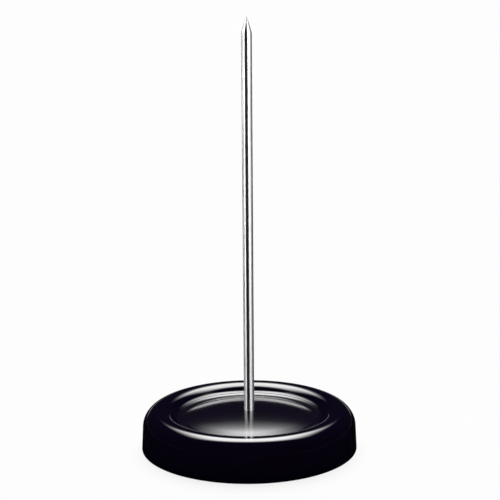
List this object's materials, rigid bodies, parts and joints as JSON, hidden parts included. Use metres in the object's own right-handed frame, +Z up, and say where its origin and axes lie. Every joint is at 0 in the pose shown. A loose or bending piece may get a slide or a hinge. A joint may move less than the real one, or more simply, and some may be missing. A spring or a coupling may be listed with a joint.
{
  "type": "memo spike",
  "caption": "Memo spike: an upright steel spike with a ground point in a heavy round base with a rounded rim, on which paper slips are pushed and held.",
  "frame": {"origin": "centre of the pad's underside, on the surface that the base stands on", "axes": "+Z up along the spike, towards its point; the part is round, so X and Y are any two level directions, and -Y faces the viewer in the picture"},
  "size_m": [0.085, 0.085, 0.17],
  "materials": {
    "shell_plastic": "polished black moulding, with a satin floor inside the rim",
    "spike_steel": "centreless ground stainless steel, with a finely ground point",
    "ballast_steel": "oiled bare steel, punched and turned",
    "zinc_hardware": "bright zinc plate",
    "pad_rubber": "matt non-slip foam rubber"
  },
  "bodies": {
    "root": {"base_shell": "shell_plastic", "spike": "spike_steel", "ballast_disc": "ballast_steel", "flat_washer": "zinc_hardware", "hex_nut": "zinc_hardware", "base_pad": "pad_rubber"}
  },
  "joints": []
}
